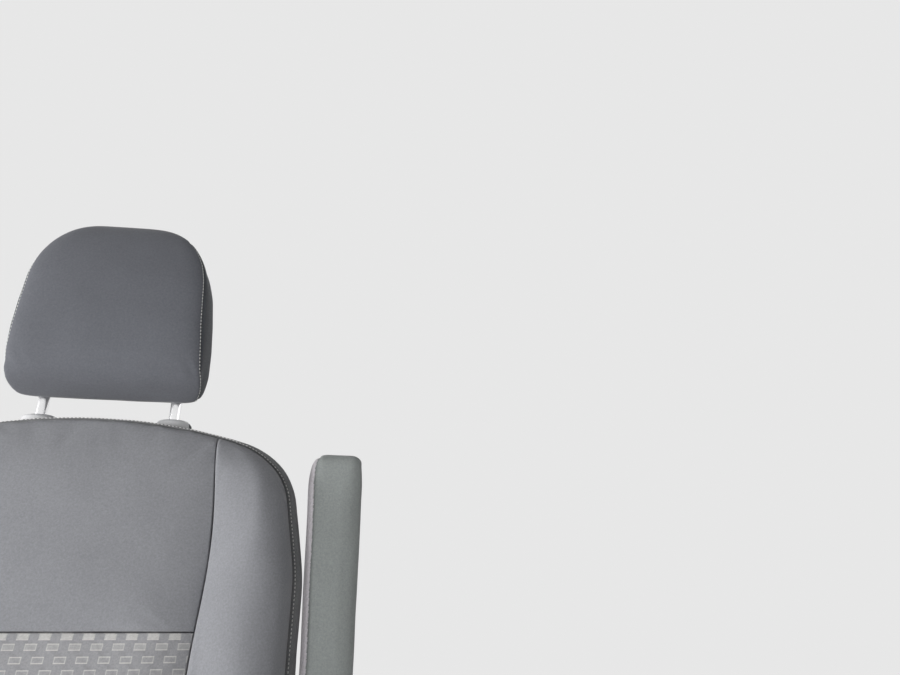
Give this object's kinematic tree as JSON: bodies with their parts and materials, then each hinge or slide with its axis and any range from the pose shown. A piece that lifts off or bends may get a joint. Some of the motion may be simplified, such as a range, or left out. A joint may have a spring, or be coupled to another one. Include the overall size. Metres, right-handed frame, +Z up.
{
  "type": "swivelling vehicle front seat",
  "caption": "Swivelling front seat of a camper van with reclining back, height-adjustable headrest, fold-up armrest, slide rails and a floor pedestal.",
  "frame": {"origin": "centre of the four floor bolts, on the floor under the pedestal's feet", "axes": "+Z up, the seat faces -Y, +X is the occupant's left, the inboard side with the armrest"},
  "size_m": [0.617, 0.759, 1.3605],
  "materials": {
    "plain_fabric": "fine woven cool grey cloth with light topstitching",
    "patterned_fabric": "woven grey cloth with rows of small light rectangles",
    "pedestal_paint": "satin dark powder coat",
    "frame_paint": "black dip coat",
    "zinc_steel": "zinc plated rolled steel",
    "chrome_post": "polished",
    "dark_plastic": "grained moulded plastic"
  },
  "bodies": {
    "pedestal": {"pedestal_side_inboard": "pedestal_paint", "pedestal_side_outboard": "pedestal_paint", "pedestal_rear_panel": "pedestal_paint", "pedestal_front_rail": "pedestal_paint", "pedestal_top_plate": "pedestal_paint", "swivel_base_plate": "frame_paint"},
    "turntable": {"swivel_top_plate": "frame_paint", "swivel_lever": "dark_plastic", "rail_lower_inboard": "zinc_steel", "rail_lower_outboard": "zinc_steel"},
    "carriage": {"rail_upper_inboard": "zinc_steel", "rail_upper_outboard": "zinc_steel", "slide_bar": "frame_paint", "seat_side_inboard": "frame_paint", "seat_side_outboard": "frame_paint", "cushion_pan": "frame_paint", "seat_rear_tube": "frame_paint", "side_cover_inboard": "dark_plastic", "side_cover_outboard": "dark_plastic", "recline_handwheel": "dark_plastic", "cushion_center": "patterned_fabric", "cushion_bolster_inboard": "plain_fabric", "cushion_bolster_outboard": "plain_fabric", "buckle_stalk": "zinc_steel", "belt_buckle": "dark_plastic"},
    "backrest": {"back_core": "plain_fabric", "back_center_pad": "plain_fabric", "back_insert_pad": "patterned_fabric", "back_bolster_inboard": "plain_fabric", "back_bolster_outboard": "plain_fabric", "back_rear_panel": "dark_plastic", "recliner_plate_inboard": "frame_paint", "recliner_plate_outboard": "frame_paint", "recliner_rod": "frame_paint", "headrest_sleeve_inboard": "dark_plastic", "headrest_sleeve_outboard": "dark_plastic", "armrest_pivot": "frame_paint"},
    "headrest": {"headrest_pad": "plain_fabric", "headrest_post_inboard": "chrome_post", "headrest_post_outboard": "chrome_post"},
    "armrest": {"armrest_pad": "plain_fabric", "armrest_hub": "dark_plastic"}
  },
  "joints": [
    {"name": "swivel", "type": "hinge", "parent": "pedestal", "child": "turntable", "pos_m": [0, 0, 0.2383], "axis": [0, 0, 1], "range_deg": [-180, 180]},
    {"name": "fore_aft_slide", "type": "slide", "parent": "turntable", "child": "carriage", "axis": [0, -1, 0], "range_m": [-0.1, 0.1]},
    {"name": "recline", "type": "hinge", "parent": "carriage", "child": "backrest", "pos_m": [0, 0.235, 0.385], "axis": [-1, 0, 0], "range_deg": [-10, 45]},
    {"name": "headrest_height", "type": "slide", "parent": "backrest", "child": "headrest", "axis": [0, 0.2079, 0.9781], "range_m": [-0.014, 0.06]},
    {"name": "armrest_fold", "type": "hinge", "parent": "backrest", "child": "armrest", "pos_m": [0.299, 0.30434, 0.68719], "axis": [1, 0, 0], "range_deg": [0, 100]}
  ]
}
